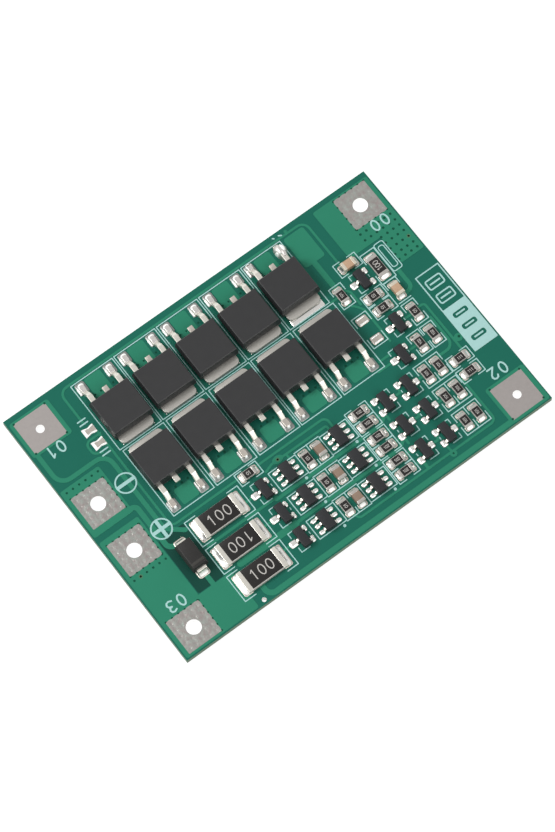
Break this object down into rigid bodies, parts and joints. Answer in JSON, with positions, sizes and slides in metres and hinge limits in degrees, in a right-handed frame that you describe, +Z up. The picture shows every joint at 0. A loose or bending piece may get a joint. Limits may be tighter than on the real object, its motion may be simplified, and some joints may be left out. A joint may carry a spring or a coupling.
{
  "type": "battery management board",
  "caption": "Flat printed circuit board with two rows of power transistors, chip resistors, small transistors and plated square wire pads for a lithium cell pack.",
  "frame": {"origin": "centre of the board's underside", "axes": "+X along the long side towards the end with the two tap pads, +Y towards the long edge beside the power transistors, +Z up out of the populated face"},
  "size_m": [0.06, 0.0412, 0.0033],
  "materials": {
    "solder_mask": "satin green lacquer over glass-fibre laminate",
    "tinned_copper": "dull hot-air solder",
    "black_epoxy": "moulded, fine grained",
    "lead_frame": "tin plated",
    "resistor_ceramic": "black glass coat on white ceramic with tinned ends",
    "capacitor_ceramic": "tan ceramic with tinned ends",
    "solder": "bright"
  },
  "bodies": {
    "root": {"circuit_board": "solder_mask", "pad_tap_0": "tinned_copper", "pad_tap_1": "tinned_copper", "pad_tap_2": "tinned_copper", "pad_tap_3": "tinned_copper", "pad_load_minus": "tinned_copper", "pad_load_plus": "tinned_copper", "mosfet_1_body": "black_epoxy", "mosfet_2_body": "black_epoxy", "mosfet_3_body": "black_epoxy", "mosfet_4_body": "black_epoxy", "mosfet_5_body": "black_epoxy", "mosfet_6_body": "black_epoxy", "mosfet_7_body": "black_epoxy", "mosfet_8_body": "black_epoxy", "mosfet_9_body": "black_epoxy", "mosfet_10_body": "black_epoxy", "mosfet_1_leads": "lead_frame", "mosfet_2_leads": "lead_frame", "mosfet_3_leads": "lead_frame", "mosfet_4_leads": "lead_frame", "mosfet_5_leads": "lead_frame", "mosfet_6_leads": "lead_frame", "mosfet_7_leads": "lead_frame", "mosfet_8_leads": "lead_frame", "mosfet_9_leads": "lead_frame", "mosfet_10_leads": "lead_frame", "bleed_resistor_1": "resistor_ceramic", "bleed_resistor_2": "resistor_ceramic", "bleed_resistor_3": "resistor_ceramic", "clamp_diode": "black_epoxy", "cell_monitor_ic_1": "black_epoxy", "cell_monitor_ic_2": "black_epoxy", "cell_monitor_ic_3": "black_epoxy", "cell_balance_ic_1": "black_epoxy", "cell_balance_ic_2": "black_epoxy", "cell_balance_ic_3": "black_epoxy", "small_transistor_1": "black_epoxy", "small_transistor_2": "black_epoxy", "small_transistor_3": "black_epoxy", "small_transistor_4": "black_epoxy", "small_transistor_5": "black_epoxy", "small_transistor_6": "black_epoxy", "small_transistor_7": "black_epoxy", "small_transistor_8": "black_epoxy", "small_transistor_9": "black_epoxy", "small_transistor_10": "black_epoxy", "small_transistor_11": "black_epoxy", "small_transistor_12": "black_epoxy", "channel_resistors_1": "resistor_ceramic", "channel_resistors_2": "resistor_ceramic", "channel_resistors_3": "resistor_ceramic", "control_resistors": "resistor_ceramic", "sense_resistor": "resistor_ceramic", "capacitor_1": "capacitor_ceramic", "capacitor_2": "capacitor_ceramic", "capacitor_3": "capacitor_ceramic", "capacitor_4": "capacitor_ceramic", "capacitor_5": "capacitor_ceramic", "solder_joints": "solder"}
  },
  "joints": []
}
